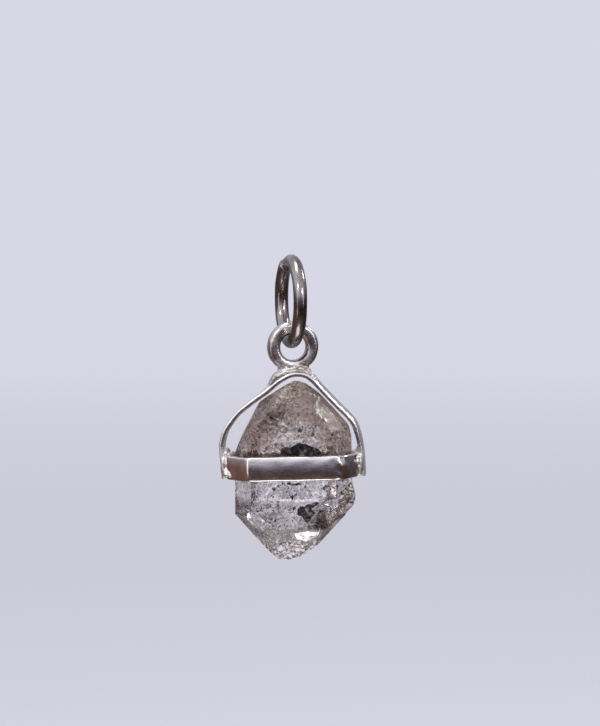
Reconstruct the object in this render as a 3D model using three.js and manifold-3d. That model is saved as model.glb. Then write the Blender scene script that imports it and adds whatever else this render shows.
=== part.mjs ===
// A herkimer diamond, which is a short clear quartz crystal with a point at both ends, held in
// a silver pendant frame: a band round its waist, a strap over its top, an eyelet soldered on
// the strap, and the jump ring that the pendant hangs by.
// Millimetres, +Z up. The pendant's front faces -Y. The origin is the inside top of the jump
// ring, where the pendant hangs.
import * as THREE from "three";
import { ConvexGeometry } from "three/addons/geometries/ConvexGeometry.js";
import { mergeVertices } from "three/addons/utils/BufferGeometryUtils.js";
import Module from "manifold-3d";

const wasm = await Module();
wasm.setup();

const fitGap = 0.02; // between pieces that fit each other closely
const degree = Math.PI / 180;
const samePoint = 1e-5; // points nearer to each other than this are one

// Jump ring: round wire bent to a ring and pushed shut, so its two ends stand a little apart
// and a little out of line.
const jumpWire = 1.05;
const jumpRadius = 3.0; // to the middle of the wire
const ringTurn = 18 * degree; // jump ring and eyelet are turned from the pendant by this much
const jumpGap = 0.07;
const jumpStep = 0.16;
const jumpSeam = 115 * degree; // where its ends meet, counted from the front over the top
const jumpCentreZ = -(jumpRadius - jumpWire / 2);
const jumpSteps = 64; // along the wire
const jumpSides = 10; // half the sides of its round section

// Eyelet: a closed ring of heavy wire that stands on a foot of solder.
const eyeletHole = 2.0;
const eyeletOuter = 3.85;
const eyeletDepth = 1.1;
const eyeletRounding = 0.34;
const eyeletRest = 0.08; // room over the jump ring's wire, which curves up on both sides
const eyeletX = 0.13;
const eyeletCentreZ = 2 * jumpCentreZ + eyeletRest - eyeletHole / 2;
const eyeletSides = 48;
const footClear = 0.12; // how far the foot's solder stays outside the hole
const footSides = 24;
const footSquareness = 0.6; // the power that makes its round sections squarer
const footSections = [
  // [height under the eyelet's middle, sideways shift, half width, half depth, turn in degrees]
  [-1.2, 0.03, 1.26, 0.5, 18],
  [-1.42, 0.05, 1.2, 0.55, 16],
  [-1.62, 0.06, 1.2, 0.64, 11],
  [-1.85, 0.05, 1.24, 0.76, 5],
  [-2.15, 0.01, 1.34, 0.86, 0],
  [-2.7, -0.06, 1.56, 0.9, 0],
];

// The band and the strap are cut from the same sheet.
const strapThick = 0.42;
const strapWide = 1.9;
const strapEdge = 0.13; // rounding along the strip's edges
const strapSteps = 72;
const strapLine = [
  // the middle of the strip, seen from the front, from its left end over the top to its right
  [-4.95, -15.8],
  [-5.1, -14.3],
  [-5.17, -13.3],
  [-4.93, -12.33],
  [-4.48, -11.57],
  [-3.88, -10.85],
  [-2.64, -9.84],
  [-1.77, -9.21],
  [-0.78, -8.4],
  [0.2, -7.92],
  [1.1, -7.96],
  [1.72, -8.37],
  [2.28, -8.96],
  [3.69, -10.41],
  [4.36, -11.05],
  [4.76, -11.57],
  [5.0, -12.2],
  [5.18, -12.9],
  [5.31, -13.8],
  [5.41, -15.0],
  [5.43, -15.49],
];

const bandThick = 0.5;
const bandHigh = 1.8;
const bandMiddleZ = -14.76;
const bandTilt = 1.75 * degree; // its right side sits higher
const bandEdge = 0.16;
const bandCornerRadius = 0.5;
const bendSteps = 5; // round one corner
const bandCorners = [
  // the middle of the strip, seen from above
  [-2.92, -3.06],
  [4.03, -3.06],
  [4.93, -1.2],
  [4.93, 1.2],
  [3.1, 3.07],
  [-2.8, 3.07],
  [-4.58, 1.2],
  [-4.58, -1.2],
];
const solderDepth = 1.7;
const solderLumps = [
  // outlines of the solder between strap and band, seen from the front: left, then right
  [
    [-5.0, -13.55],
    [-4.9, -13.5],
    [-4.72, -13.78],
    [-4.3, -13.93],
    [-4.3, -14.1],
    [-4.95, -15.7],
    [-5.1, -14.3],
  ],
  [
    [5.2, -13.25],
    [5.14, -13.2],
    [5.0, -13.5],
    [4.6, -13.68],
    [4.6, -13.9],
    [5.25, -15.4],
    [5.3, -14.2],
  ],
];

// Crystal. Each face is given by the way it looks and by how far it stands from the middle:
// turn is counted from the front towards the right, and rise is how far it looks up.
// A quartz point's own faces look up, or down, by this much.
const pointRise = 38.2;
const crystalMiddle = new THREE.Vector3(0.275, 0, -15.13);
const crystalFaces = [
  // the six sides
  { turn: 0, rise: 0, out: 2.75 },
  { turn: 60, rise: 0, out: 4.28 },
  { turn: 120, rise: 0, out: 3.28 },
  { turn: 180, rise: 0, out: 2.65 },
  { turn: 240, rise: 0, out: 3.78 },
  { turn: 300, rise: 0, out: 4.0 },
  // the lower point
  { turn: 0, rise: -pointRise, out: 4.78 },
  { turn: 60, rise: -pointRise, out: 5.35 },
  { turn: 120, rise: -pointRise, out: 3.99 },
  { turn: 180, rise: -pointRise, out: 3.56 },
  { turn: 240, rise: -pointRise, out: 5.06 },
  { turn: 300, rise: -pointRise, out: 5.24 },
  { turn: 290, rise: -58, out: 6.34 },
  // the upper point, blunted by extra faces
  { turn: 0, rise: pointRise, out: 5.0 },
  { turn: 60, rise: pointRise, out: 5.18 },
  { turn: 120, rise: pointRise, out: 4.74 },
  { turn: 180, rise: pointRise, out: 3.4 },
  { turn: 240, rise: pointRise, out: 4.82 },
  { turn: 300, rise: pointRise, out: 5.04 },
  { turn: 274, rise: 26, out: 4.62 },
  { turn: 262, rise: 59, out: 5.72 },
  { turn: 318, rise: 47, out: 5.52 },
  { turn: 82, rise: 47, out: 5.56 },
  { turn: 98, rise: 64, out: 6.24 },
  { turn: 88, rise: 20, out: 5.04 },
  { turn: 32, rise: 44, out: 5.56 },
];
// A second crystal that grew in step with the first and stands proud of it at the lower right.
const sideCrystalFaces = [
  { turn: 0, rise: 0, out: 2.52 },
  { turn: 60, rise: 0, out: 4.76 },
  { turn: 120, rise: 0, out: 3.54 },
  { turn: 180, rise: 0, out: 1.4 },
  { turn: 270, rise: 0, out: -1.3 },
  { turn: 90, rise: 12, out: 4.14 },
  { turn: 40, rise: pointRise, out: 2.35 },
  { turn: 60, rise: -pointRise, out: 5.27 },
  { turn: 120, rise: -pointRise, out: 3.97 },
  { turn: 0, rise: -pointRise, out: 4.3 },
];
// Growth ledges: low plates on a face. Corners are in the face's own plane, counted from the
// point nearest the crystal's middle: along the face to the right, then up the face.
const ledges = [
  {
    face: 0,
    high: 0.06,
    corners: [
      [-2.7, -4.4],
      [0.9, -4.4],
      [1.9, -3.2],
      [0.6, -2.1],
      [-1.2, -2.4],
      [-2.7, -3.2],
    ],
  },
  {
    face: 0,
    high: 0.07,
    corners: [
      [-3.0, 1.7],
      [-1.3, 2.4],
      [0.5, 2.2],
      [2.2, 3.1],
      [3.3, 5.2],
      [-3.0, 5.2],
    ],
  },
  {
    face: 6,
    high: 0.08,
    corners: [
      [-0.8, -3.9],
      [2.2, -3.9],
      [2.5, 0.1],
      [1.3, -0.2],
      [0.2, -0.9],
      [-0.5, -2.2],
    ],
  },
  {
    face: 6,
    high: 0.05,
    corners: [
      [-2.6, -1.4],
      [-1.4, -0.9],
      [-1.1, 0.6],
      [-3.2, 0.6],
    ],
  },
  {
    face: 13,
    high: 0.07,
    corners: [
      [-2.4, -0.8],
      [0.2, -0.8],
      [0.7, 0.5],
      [-0.6, 1.4],
      [-2.4, 0.9],
    ],
  },
  {
    face: 3,
    high: 0.06,
    corners: [
      [-1.6, -3.2],
      [2.6, -3.2],
      [2.2, 0.3],
      [0.4, 1.2],
      [-1.2, 0.2],
    ],
  },
  {
    face: 16,
    high: 0.08,
    corners: [
      [-1.4, -1.8],
      [1.8, -2.4],
      [2.2, 0.8],
      [0.1, 1.9],
      [-1.5, 1.0],
    ],
  },
  {
    face: 9,
    high: 0.07,
    corners: [
      [-1.8, -2.2],
      [0.8, -2.4],
      [1.3, 0.4],
      [-0.9, 0.9],
    ],
  },
  {
    face: 4,
    high: 0.05,
    corners: [
      [-1.3, -2.6],
      [0.9, -2.6],
      [0.6, 1.1],
      [-0.8, 1.6],
    ],
  },
  {
    face: 8,
    high: 0.06,
    corners: [
      [-1.4, -1.7],
      [1.2, -1.9],
      [0.9, 0.9],
      [-0.7, 0.6],
    ],
  },
];
const ledgeRoot = 0.4; // how deep a plate is sunk in its face
// Etch pits: three-cornered hollows sunk into a face.
const pitCount = 46;
const pitSmallest = 0.16;
const pitLargest = 0.46;
const pitDepth = 0.3; // as a share of its size
const pitProud = 0.12; // how far the cutting cone stands out of the face
const pitTwist = 0.3; // the most that a pit is turned out of line
const pitsAcross = 4.6; // the width of a face that they are strewn over
const pitsUpSide = 7.6; // and the height, on a side
const pitsUpPoint = 3.6; // and on a face of a point
const pitSeed = 11;
const pitFaces = [0, 0, 0, 6, 6, 13, 13, 14, 18, 3, 3, 16, 16, 9, 7, 11, 8];
// Chips along the crystal's edges and at its lower tip: [x, y, z from the middle, size, turn].
const chipLean = 0.6; // a chip leans by this share of its turn
const chips = [
  [-4.5, -0.3, -1.1, 0.42, 20],
  [-3.1, -2.9, -3.3, 0.5, 50],
  [-2.35, -0.6, -5.55, 0.5, 35],
  [-0.95, -0.85, -7.0, 0.42, 15],
  [-0.3, -1.05, -7.0, 0.3, 60],
  [0.35, -0.7, -6.95, 0.36, 80],
  [2.2, -1.75, -5.55, 0.42, 10],
  [3.5, -2.85, -3.6, 0.42, 65],
  [4.75, -1.15, -2.25, 0.3, 5],
  [-2.75, -1.0, 5.35, 0.55, 40],
  [0.3, -1.1, 7.0, 0.42, 25],
  [2.2, -0.9, 5.75, 0.45, 70],
  [-4.0, -0.6, 3.0, 0.4, 10],
  [3.0, -2.0, 4.4, 0.4, 30],
  [2.45, 2.75, 0.9, 0.36, 45],
  [-2.65, 2.8, 2.0, 0.42, 75],
  [0.4, 1.5, 6.2, 0.4, 55],
];
// Black plates of a carbon-like mineral, sealed in the crystal. Each is given by its outline as
// seen from the front, by how far behind the pendant's middle plane it lies, and by how far its
// top leans back. A fine growth channel leads from its pocket to the side behind the band.
const inclusionThick = 0.12;
const inclusionEdge = 0.03;
const channelRadius = 0.1;
const channelSides = 6;
const upperInclusion = {
  depth: -1.45,
  lean: 14,
  outline: [
    [-0.62, -13.52],
    [-0.45, -13.3],
    [-0.15, -13.22],
    [0.1, -13.34],
    [0.35, -13.12],
    [0.72, -12.94],
    [1.25, -12.98],
    [1.75, -13.18],
    [2.2, -13.35],
    [2.55, -13.68],
    [2.42, -13.92],
    [1.8, -14.0],
    [1.1, -14.02],
    [0.5, -13.88],
    [0.0, -13.95],
    [-0.4, -13.8],
  ],
  channel: [
    [1.0, -1.53, -13.85],
    [1.0, -3.0, -14.75],
  ],
};
const lowerInclusion = {
  depth: -1.0,
  lean: -8,
  outline: [
    [0.62, -17.95],
    [0.85, -17.7],
    [1.2, -17.72],
    [1.42, -17.5],
    [1.78, -17.58],
    [1.7, -17.92],
    [1.95, -18.2],
    [1.72, -18.5],
    [1.42, -18.98],
    [1.15, -18.82],
    [1.0, -18.5],
    [0.72, -18.42],
  ],
  channel: [
    [1.3, -1.04, -17.85],
    [1.3, -3.0, -15.3],
  ],
};

// A seeded random number from 0 to 1, the same on every run.
function seededRandom(seed) {
  let state = seed;
  return () => {
    state = (state * 16807) % 2147483647;
    return state / 2147483647;
  };
}

// A closed geometry as a solid that can be joined and cut.
function solidOf(geometry) {
  const bare = new THREE.BufferGeometry().setAttribute("position", geometry.getAttribute("position"));
  if (geometry.index) bare.setIndex(geometry.index);
  const merged = mergeVertices(bare, samePoint);
  return new wasm.Manifold(
    new wasm.Mesh({
      numProp: 3,
      vertProperties: new Float32Array(merged.attributes.position.array),
      triVerts: new Uint32Array(merged.index.array),
    }),
  );
}

function geometryOf(solid) {
  const mesh = solid.getMesh();
  const geometry = new THREE.BufferGeometry();
  geometry.setAttribute("position", new THREE.BufferAttribute(mesh.vertProperties, mesh.numProp));
  geometry.setIndex(new THREE.BufferAttribute(mesh.triVerts, 1));
  const flat = geometry.toNonIndexed();
  flat.computeVertexNormals();
  return flat;
}

// Cutting can free a crumb: only the piece itself is kept.
function largestPiece(solid) {
  return solid.decompose().sort((a, b) => b.volume() - a.volume())[0];
}

// The way a crystal face looks.
function lookOf({ turn, rise }) {
  const level = Math.cos(rise * degree);
  return new THREE.Vector3(
    Math.sin(turn * degree) * level,
    -Math.cos(turn * degree) * level,
    Math.sin(rise * degree),
  );
}

// The corners of the crystal that flat faces bound: every point where three of them meet and
// that no other face cuts off.
function cornersOf(faces) {
  const nearlyParallel = 1e-4;
  const planes = faces.map((face) => ({ look: lookOf(face), out: face.out }));
  const corners = [];
  for (let a = 0; a < planes.length; a++)
    for (let b = a + 1; b < planes.length; b++)
      for (let c = b + 1; c < planes.length; c++) {
        const [p, q, r] = [planes[a], planes[b], planes[c]];
        const qr = q.look.clone().cross(r.look);
        const volume = p.look.dot(qr);
        if (Math.abs(volume) < nearlyParallel) continue;
        const corner = qr
          .multiplyScalar(p.out)
          .add(r.look.clone().cross(p.look).multiplyScalar(q.out))
          .add(p.look.clone().cross(q.look).multiplyScalar(r.out))
          .divideScalar(volume);
        const inside = planes.every((plane) => plane.look.dot(corner) < plane.out + samePoint);
        const isNew = corners.every((other) => other.distanceTo(corner) > 10 * samePoint);
        if (inside && isNew) corners.push(corner);
      }
  return corners;
}

function facetedSolid(faces) {
  return solidOf(new ConvexGeometry(cornersOf(faces)));
}

// A frame on a crystal face: x to the right along it, y up it, z out of it.
function frameOn(face) {
  const look = lookOf(face);
  const along = new THREE.Vector3(0, 0, 1).cross(look).normalize();
  const up = look.clone().cross(along);
  return new THREE.Matrix4()
    .makeBasis(along, up, look)
    .setPosition(look.clone().multiplyScalar(face.out));
}

// A low plate on one face, trimmed to the crystal's own outline there.
function ledgeSolid({ face, high, corners }) {
  const plate = new THREE.ExtrudeGeometry(
    new THREE.Shape(corners.map(([x, y]) => new THREE.Vector2(x, y))),
    { depth: ledgeRoot + high, bevelEnabled: false },
  );
  plate.translate(0, 0, -ledgeRoot).applyMatrix4(frameOn(crystalFaces[face]));
  const grown = crystalFaces.map((other, index) =>
    index === face ? { ...other, out: other.out + high } : other,
  );
  return solidOf(plate).intersect(facetedSolid(grown));
}

// A three-sided cone with its point sunk into a face.
function pitSolid(face, x, y, size, spin) {
  const depth = size * pitDepth;
  const height = depth + pitProud;
  const cone = new THREE.ConeGeometry((size / 2) * (height / depth), height, 3);
  cone
    .rotateX(-Math.PI / 2)
    .rotateZ(spin)
    .translate(x, y, height / 2 - depth)
    .applyMatrix4(frameOn(face));
  return solidOf(cone);
}

function crystalGeometry() {
  let crystal = facetedSolid(crystalFaces).add(facetedSolid(sideCrystalFaces));
  for (const ledge of ledges) crystal = crystal.add(ledgeSolid(ledge));
  const random = seededRandom(pitSeed);
  for (let n = 0; n < pitCount; n++) {
    const face = crystalFaces[pitFaces[n % pitFaces.length]];
    const size = pitSmallest + (pitLargest - pitSmallest) * random() ** 2;
    const x = (random() - 0.5) * pitsAcross;
    const y = (random() - 0.5) * (face.rise === 0 ? pitsUpSide : pitsUpPoint);
    const spin = (random() < 0.5 ? 0 : Math.PI) + random() * pitTwist;
    crystal = crystal.subtract(pitSolid(face, x, y, size, spin));
  }
  for (const [x, y, z, size, turn] of chips) {
    const chip = new THREE.OctahedronGeometry(size);
    chip.rotateZ(turn * degree).rotateX(turn * chipLean * degree).translate(x, y, z);
    crystal = crystal.subtract(solidOf(chip));
  }
  crystal = largestPiece(crystal).translate(crystalMiddle.toArray());
  for (const inclusion of [upperInclusion, lowerInclusion]) {
    const pocket = inclusionGeometry(inclusion, fitGap);
    crystal = crystal.subtract(solidOf(pocket)).subtract(channelSolid(inclusion.channel));
  }
  return geometryOf(largestPiece(crystal));
}

// A black plate, or the pocket that it lies in when it is grown by the gap.
function inclusionGeometry({ depth, lean, outline }, gap = 0) {
  const middle = new THREE.Box2().setFromPoints(outline.map(([x, z]) => new THREE.Vector2(x, z)));
  const centre = middle.getCenter(new THREE.Vector2());
  const shape = new THREE.Shape(
    outline.map(([x, z]) => new THREE.Vector2(x - centre.x, z - centre.y)),
  );
  const edge = gap || inclusionEdge;
  const flat = gap ? inclusionThick : inclusionThick - 2 * edge;
  return new THREE.ExtrudeGeometry(shape, {
    depth: flat,
    bevelEnabled: true,
    bevelSize: edge,
    bevelThickness: edge,
    bevelOffset: gap ? 0 : -edge,
    bevelSegments: 1,
  })
    .translate(0, 0, -flat / 2)
    .rotateX(Math.PI / 2 - lean * degree)
    .translate(centre.x, depth, centre.y);
}

function channelSolid([start, end]) {
  const from = new THREE.Vector3(...start);
  const way = new THREE.Vector3(...end).sub(from);
  const tube = new THREE.CylinderGeometry(channelRadius, channelRadius, way.length(), channelSides);
  const middle = from.addScaledVector(way, 0.5);
  const turn = new THREE.Quaternion().setFromUnitVectors(new THREE.Vector3(0, 1, 0), way.normalize());
  return solidOf(tube.applyQuaternion(turn).translate(middle.x, middle.y, middle.z));
}

// The line of the strap as a smooth curve in the plane of the pendant.
function strapCurve() {
  return new THREE.CatmullRomCurve3(
    strapLine.map(([x, z]) => new THREE.Vector3(x, z, 0)),
    false,
    "centripetal",
  );
}

// A strip of even thickness, seen on edge, along a line of points. A closed line gives the
// outer outline and the inner one as a hole.
function stripShape(points, thick, closed) {
  const count = points.length;
  const side = (sign) =>
    points.map((point, index) => {
      const before = points[closed ? (index + count - 1) % count : Math.max(index - 1, 0)];
      const after = points[closed ? (index + 1) % count : Math.min(index + 1, count - 1)];
      const way = new THREE.Vector2(after.x - before.x, after.y - before.y).normalize();
      return new THREE.Vector2(
        point.x + (sign * way.y * thick) / 2,
        point.y - (sign * way.x * thick) / 2,
      );
    });
  if (!closed) return new THREE.Shape([...side(1), ...side(-1).reverse()]);
  const shape = new THREE.Shape(side(1));
  shape.holes.push(new THREE.Path(side(-1)));
  return shape;
}

// A shape drawn as seen from the front, given a depth from front to back.
function frontExtrusion(shape, depth, edge) {
  const geometry = new THREE.ExtrudeGeometry(shape, {
    depth: depth - 2 * edge,
    bevelEnabled: edge > 0,
    bevelSize: edge,
    bevelThickness: edge,
    bevelOffset: -edge,
    bevelSegments: 2,
    curveSegments: 5,
  });
  return geometry.translate(0, 0, -(depth / 2 - edge)).rotateX(Math.PI / 2);
}

// The strap's strip, or the room it takes when it is grown by the gap.
function strapSolid(gap = 0) {
  const points = strapCurve().getSpacedPoints(strapSteps);
  const outline = stripShape(points, strapThick + 2 * gap, false);
  return solidOf(frontExtrusion(outline, strapWide + 2 * gap, gap ? 0 : strapEdge));
}

// A loop with rounded corners, as points about evenly spaced round each corner.
function roundedLoop(corners, radius) {
  const points = [];
  corners.forEach(([x, y], index) => {
    const corner = new THREE.Vector2(x, y);
    const before = new THREE.Vector2(...corners[(index + corners.length - 1) % corners.length]);
    const after = new THREE.Vector2(...corners[(index + 1) % corners.length]);
    const back = before.sub(corner).normalize();
    const on = after.sub(corner).normalize();
    const half = Math.acos(THREE.MathUtils.clamp(back.dot(on), -1, 1)) / 2;
    const reach = radius / Math.tan(half);
    const start = corner.clone().addScaledVector(back, reach);
    const end = corner.clone().addScaledVector(on, reach);
    const bend = new THREE.QuadraticBezierCurve(start, corner, end);
    points.push(...bend.getPoints(bendSteps));
  });
  return points;
}

// The band, or the room it takes when it is grown by the gap.
function bandGeometry(gap = 0) {
  const loop = roundedLoop(bandCorners, bandCornerRadius);
  return new THREE.ExtrudeGeometry(stripShape(loop, bandThick + 2 * gap, true), {
    depth: bandHigh + 2 * gap - 2 * bandEdge,
    bevelEnabled: true,
    bevelSize: bandEdge,
    bevelThickness: bandEdge,
    bevelOffset: -bandEdge,
    bevelSegments: 3,
  })
    .translate(0, 0, -(bandHigh / 2 + gap - bandEdge))
    .rotateY(-bandTilt)
    .translate(0, 0, bandMiddleZ);
}

// The strap with the solder that joins its ends to the band's sides.
function strapGeometry() {
  let strap = strapSolid();
  for (const lump of solderLumps) {
    const outline = new THREE.Shape(lump.map(([x, z]) => new THREE.Vector2(x, z)));
    strap = strap.add(solidOf(frontExtrusion(outline, solderDepth, 0)));
  }
  return geometryOf(largestPiece(strap.subtract(solidOf(bandGeometry(fitGap)))));
}

// A solid with rounded four-sided cross-sections, one over the other.
function loftedSolid(sections) {
  const squarer = (value) => Math.sign(value) * Math.abs(value) ** footSquareness;
  const count = footSides;
  const positions = [];
  const index = [];
  for (const [z, x, halfWidth, halfDepth, turn] of sections)
    for (let n = 0; n < count; n++) {
      const angle = (n / count) * 2 * Math.PI;
      const across = squarer(Math.cos(angle)) * halfWidth;
      const point = new THREE.Vector3(across, squarer(Math.sin(angle)) * halfDepth, z);
      point.applyAxisAngle(new THREE.Vector3(0, 0, 1), turn * degree);
      positions.push(point.x + x, point.y, point.z);
    }
  const top = sections.length * count;
  for (const [z, x] of [sections[0], sections[sections.length - 1]]) positions.push(x, 0, z);
  for (let n = 0; n < count; n++) {
    const next = (n + 1) % count;
    index.push(top, n, next);
    for (let row = 0; row + 1 < sections.length; row++) {
      const [a, b] = [row * count, (row + 1) * count];
      index.push(a + n, b + n, b + next, a + n, b + next, a + next);
    }
    index.push(top + 1, (sections.length - 1) * count + next, (sections.length - 1) * count + n);
  }
  const geometry = new THREE.BufferGeometry();
  geometry.setAttribute("position", new THREE.Float32BufferAttribute(positions, 3));
  geometry.setIndex(index);
  return geometry;
}

// The eyelet's ring with its foot, which follows the top of the strap.
function eyeletGeometry() {
  const inner = eyeletHole / 2;
  const outer = eyeletOuter / 2;
  const halfDepth = eyeletDepth / 2;
  const round = eyeletRounding;
  const profile = [];
  const quarterSteps = 3;
  const quarter = (x, y, from) => {
    for (let n = 0; n <= quarterSteps; n++) {
      const angle = from + (n / quarterSteps) * (Math.PI / 2);
      profile.push(new THREE.Vector2(x + Math.cos(angle) * round, y + Math.sin(angle) * round));
    }
  };
  quarter(outer - round, -halfDepth + round, -Math.PI / 2);
  quarter(outer - round, halfDepth - round, 0);
  quarter(inner + round, halfDepth - round, Math.PI / 2);
  quarter(inner + round, -halfDepth + round, Math.PI);
  profile.push(profile[0].clone());
  const ring = new THREE.LatheGeometry(profile, eyeletSides).rotateZ(ringTurn);
  const clear = inner + footClear;
  const hole = new THREE.CylinderGeometry(clear, clear, 3 * eyeletDepth, eyeletSides);
  hole.rotateZ(ringTurn);
  const foot = solidOf(loftedSolid(footSections)).subtract(solidOf(hole));
  const eyelet = solidOf(ring).add(foot).translate([eyeletX, 0, eyeletCentreZ]);
  return geometryOf(largestPiece(eyelet.subtract(strapSolid(fitGap))));
}

// The jump ring's line: once round, from one end to the other, with a small sideways step.
class JumpRingLine extends THREE.Curve {
  getPoint(t, target = new THREE.Vector3()) {
    const gapAngle = jumpGap / jumpRadius;
    const angle = jumpSeam + gapAngle / 2 + t * (2 * Math.PI - gapAngle);
    const alongRing = Math.cos(angle) * jumpRadius;
    return target.set(
      (t - 0.5) * jumpStep,
      -alongRing,
      Math.sin(angle) * jumpRadius + jumpCentreZ,
    );
  }
}

function jumpRingGeometry() {
  const section = new THREE.Shape().absarc(0, 0, jumpWire / 2, 0, 2 * Math.PI);
  const geometry = new THREE.ExtrudeGeometry(section, {
    steps: jumpSteps,
    curveSegments: jumpSides,
    bevelEnabled: false,
    extrudePath: new JumpRingLine(),
  });
  return geometry.rotateZ(ringTurn);
}

const silver = (colour, roughness) =>
  new THREE.MeshStandardMaterial({ color: colour, roughness, metalness: 1, flatShading: true });

const carbon = new THREE.MeshStandardMaterial({
  color: 0x2a2625,
  roughness: 0.35,
  metalness: 0.3,
  flatShading: true,
});

function piece(name, geometry, material) {
  const mesh = new THREE.Mesh(geometry, material);
  mesh.name = name;
  return mesh;
}

const pendant = new THREE.Group();
pendant.name = "herkimer_diamond_pendant";
pendant.add(
  piece(
    "crystal",
    crystalGeometry(),
    new THREE.MeshStandardMaterial({
      color: 0xd8d3cf,
      roughness: 0.08,
      metalness: 0,
      transparent: true,
      opacity: 0.5,
      flatShading: true,
    }),
  ),
  piece("upper_inclusion", inclusionGeometry(upperInclusion), carbon),
  piece("lower_inclusion", inclusionGeometry(lowerInclusion), carbon),
  piece("band", bandGeometry(), silver(0xc9c6c8, 0.22)),
  piece("strap", strapGeometry(), silver(0xcdcbcc, 0.28)),
  piece("eyelet", eyeletGeometry(), silver(0xbab6b6, 0.32)),
  piece("jump_ring", jumpRingGeometry(), silver(0xb2aeac, 0.25)),
);

export default pendant;
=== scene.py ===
import math
import random
import bmesh
import bpy
import numpy as np
from mathutils import Matrix, Vector, noise
from mathutils.geometry import delaunay_2d_cdt


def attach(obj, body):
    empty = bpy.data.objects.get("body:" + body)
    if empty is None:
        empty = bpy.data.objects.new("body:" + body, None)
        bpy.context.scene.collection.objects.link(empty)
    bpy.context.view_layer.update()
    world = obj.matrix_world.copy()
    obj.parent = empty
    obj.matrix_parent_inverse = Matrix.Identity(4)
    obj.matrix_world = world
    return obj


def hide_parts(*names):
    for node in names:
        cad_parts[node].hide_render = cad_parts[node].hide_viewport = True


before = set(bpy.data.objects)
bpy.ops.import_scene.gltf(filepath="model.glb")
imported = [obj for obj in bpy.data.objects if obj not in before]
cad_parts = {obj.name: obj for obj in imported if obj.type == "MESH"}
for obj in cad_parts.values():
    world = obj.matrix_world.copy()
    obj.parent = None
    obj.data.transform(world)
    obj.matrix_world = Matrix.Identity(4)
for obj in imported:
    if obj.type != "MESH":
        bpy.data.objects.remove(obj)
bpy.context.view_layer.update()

# The crystal: a short clear quartz crystal with a point at both ends, as it came out of its rock.
# Its flat faces meet in sharp edges, and carry the low ledges and three-cornered hollows that
# growth and etching left on them.
MM = 0.001  # shapes are worked out in mm and scaled to metres at the end
point_rise = 38.2  # a quartz point's own faces look up, or down, by this much
crystal_middle = Vector((0.275, 0, -15.13))
crystal_faces = [
    # turn, rise, and distance from the middle in mm: the six sides
    (0, 0, 2.75), (60, 0, 4.28), (120, 0, 3.28), (180, 0, 2.65), (240, 0, 3.78), (300, 0, 4.0),
    # the lower point
    (0, -point_rise, 4.78), (60, -point_rise, 5.35), (120, -point_rise, 3.99),
    (180, -point_rise, 3.56), (240, -point_rise, 5.06), (300, -point_rise, 5.24), (290, -58, 6.34),
    # the upper point, blunted by extra faces
    (0, point_rise, 5.0), (60, point_rise, 5.18), (120, point_rise, 4.74),
    (180, point_rise, 3.4), (240, point_rise, 4.82), (300, point_rise, 5.04),
    (274, 26, 4.62), (262, 59, 5.72), (318, 47, 5.52), (82, 47, 5.56), (98, 64, 6.24),
    (88, 20, 5.04), (32, 44, 5.56),
]
side_crystal_faces = [
    # a second crystal, grown in step with the first, that stands proud of it at the lower right
    (0, 0, 2.52), (60, 0, 4.76), (120, 0, 3.54), (180, 0, 1.4), (270, 0, -1.3), (90, 12, 4.14),
    (40, point_rise, 2.35), (60, -point_rise, 5.27), (120, -point_rise, 3.97),
    (0, -point_rise, 4.3), (180, point_rise, 3.3),
]


def face_look(turn, rise):
    """The way a face looks: turn from the front towards the right, then upwards, in degrees."""
    turn, rise = math.radians(turn), math.radians(rise)
    level = math.cos(rise)
    return Vector((math.sin(turn) * level, -math.cos(turn) * level, math.sin(rise)))


def cut_to_faces(body, faces, margin, closed):
    """Cut a body back to flat faces, less a margin; where closed is set, the cuts are filled."""
    for turn, rise, out in faces:
        look = face_look(turn, rise)
        cut = bmesh.ops.bisect_plane(
            body,
            geom=body.verts[:] + body.edges[:] + body.faces[:],
            plane_co=look * (out - margin),
            plane_no=look,
            clear_outer=True,
        )
        rim = [part for part in cut["geom_cut"] if isinstance(part, bmesh.types.BMEdge)]
        if closed and rim:
            bmesh.ops.edgeloop_fill(body, edges=rim)


def mesh_of(body, name):
    """A bmesh body as a mesh; the body goes."""
    mesh = bpy.data.meshes.new(name)
    body.to_mesh(mesh)
    body.free()
    return mesh


def flat_faced(faces, margin=0.0):
    """A solid bounded by flat faces, cut out of a block."""
    solid = bmesh.new()
    bmesh.ops.create_cube(solid, size=40)
    cut_to_faces(solid, faces, margin, closed=True)
    bmesh.ops.recalc_face_normals(solid, faces=solid.faces)
    return mesh_of(solid, "flat_faced")


def new_object(name, mesh):
    obj = bpy.data.objects.new(name, mesh)
    bpy.context.scene.collection.objects.link(obj)
    return obj


def modify(obj, kind, **settings):
    """Give an object a modifier with its settings."""
    modifier = obj.modifiers.new(kind.lower(), kind)
    for key, value in settings.items():
        setattr(modifier, key, value)


def evaluated(obj):
    """The object's mesh with its modifiers applied, as a plain mesh; the object goes."""
    bpy.context.view_layer.update()
    seen = obj.evaluated_get(bpy.context.evaluated_depsgraph_get())
    mesh = bpy.data.meshes.new_from_object(seen)
    bpy.data.objects.remove(obj, do_unlink=True)
    return mesh


def held(value):
    """A value held between 0 and 1."""
    return min(1, max(0, value))


def stepped(level, count):
    """Terraces: level from 0 to 1 in count steps with soft risers."""
    riser = 0.22  # the share of each step that slopes
    scaled = level * count
    floor = np.floor(scaled)
    return (floor + np.clip((scaled - floor - (1 - riser)) / riser, 0, 1)) / count


def triangle_reach(u, v, middle, first_angle, stretch=1.0):
    """How far out points lie from a triangle's middle, measured square to its sides."""
    reach = np.full(len(u), -1e9)
    for side in range(3):
        angle = first_angle + side * 2 * math.pi / 3
        out = (u - middle[0]) * math.cos(angle) + (v - middle[1]) * math.sin(angle)
        reach = np.maximum(reach, out if side else out * stretch)
    return reach


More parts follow.
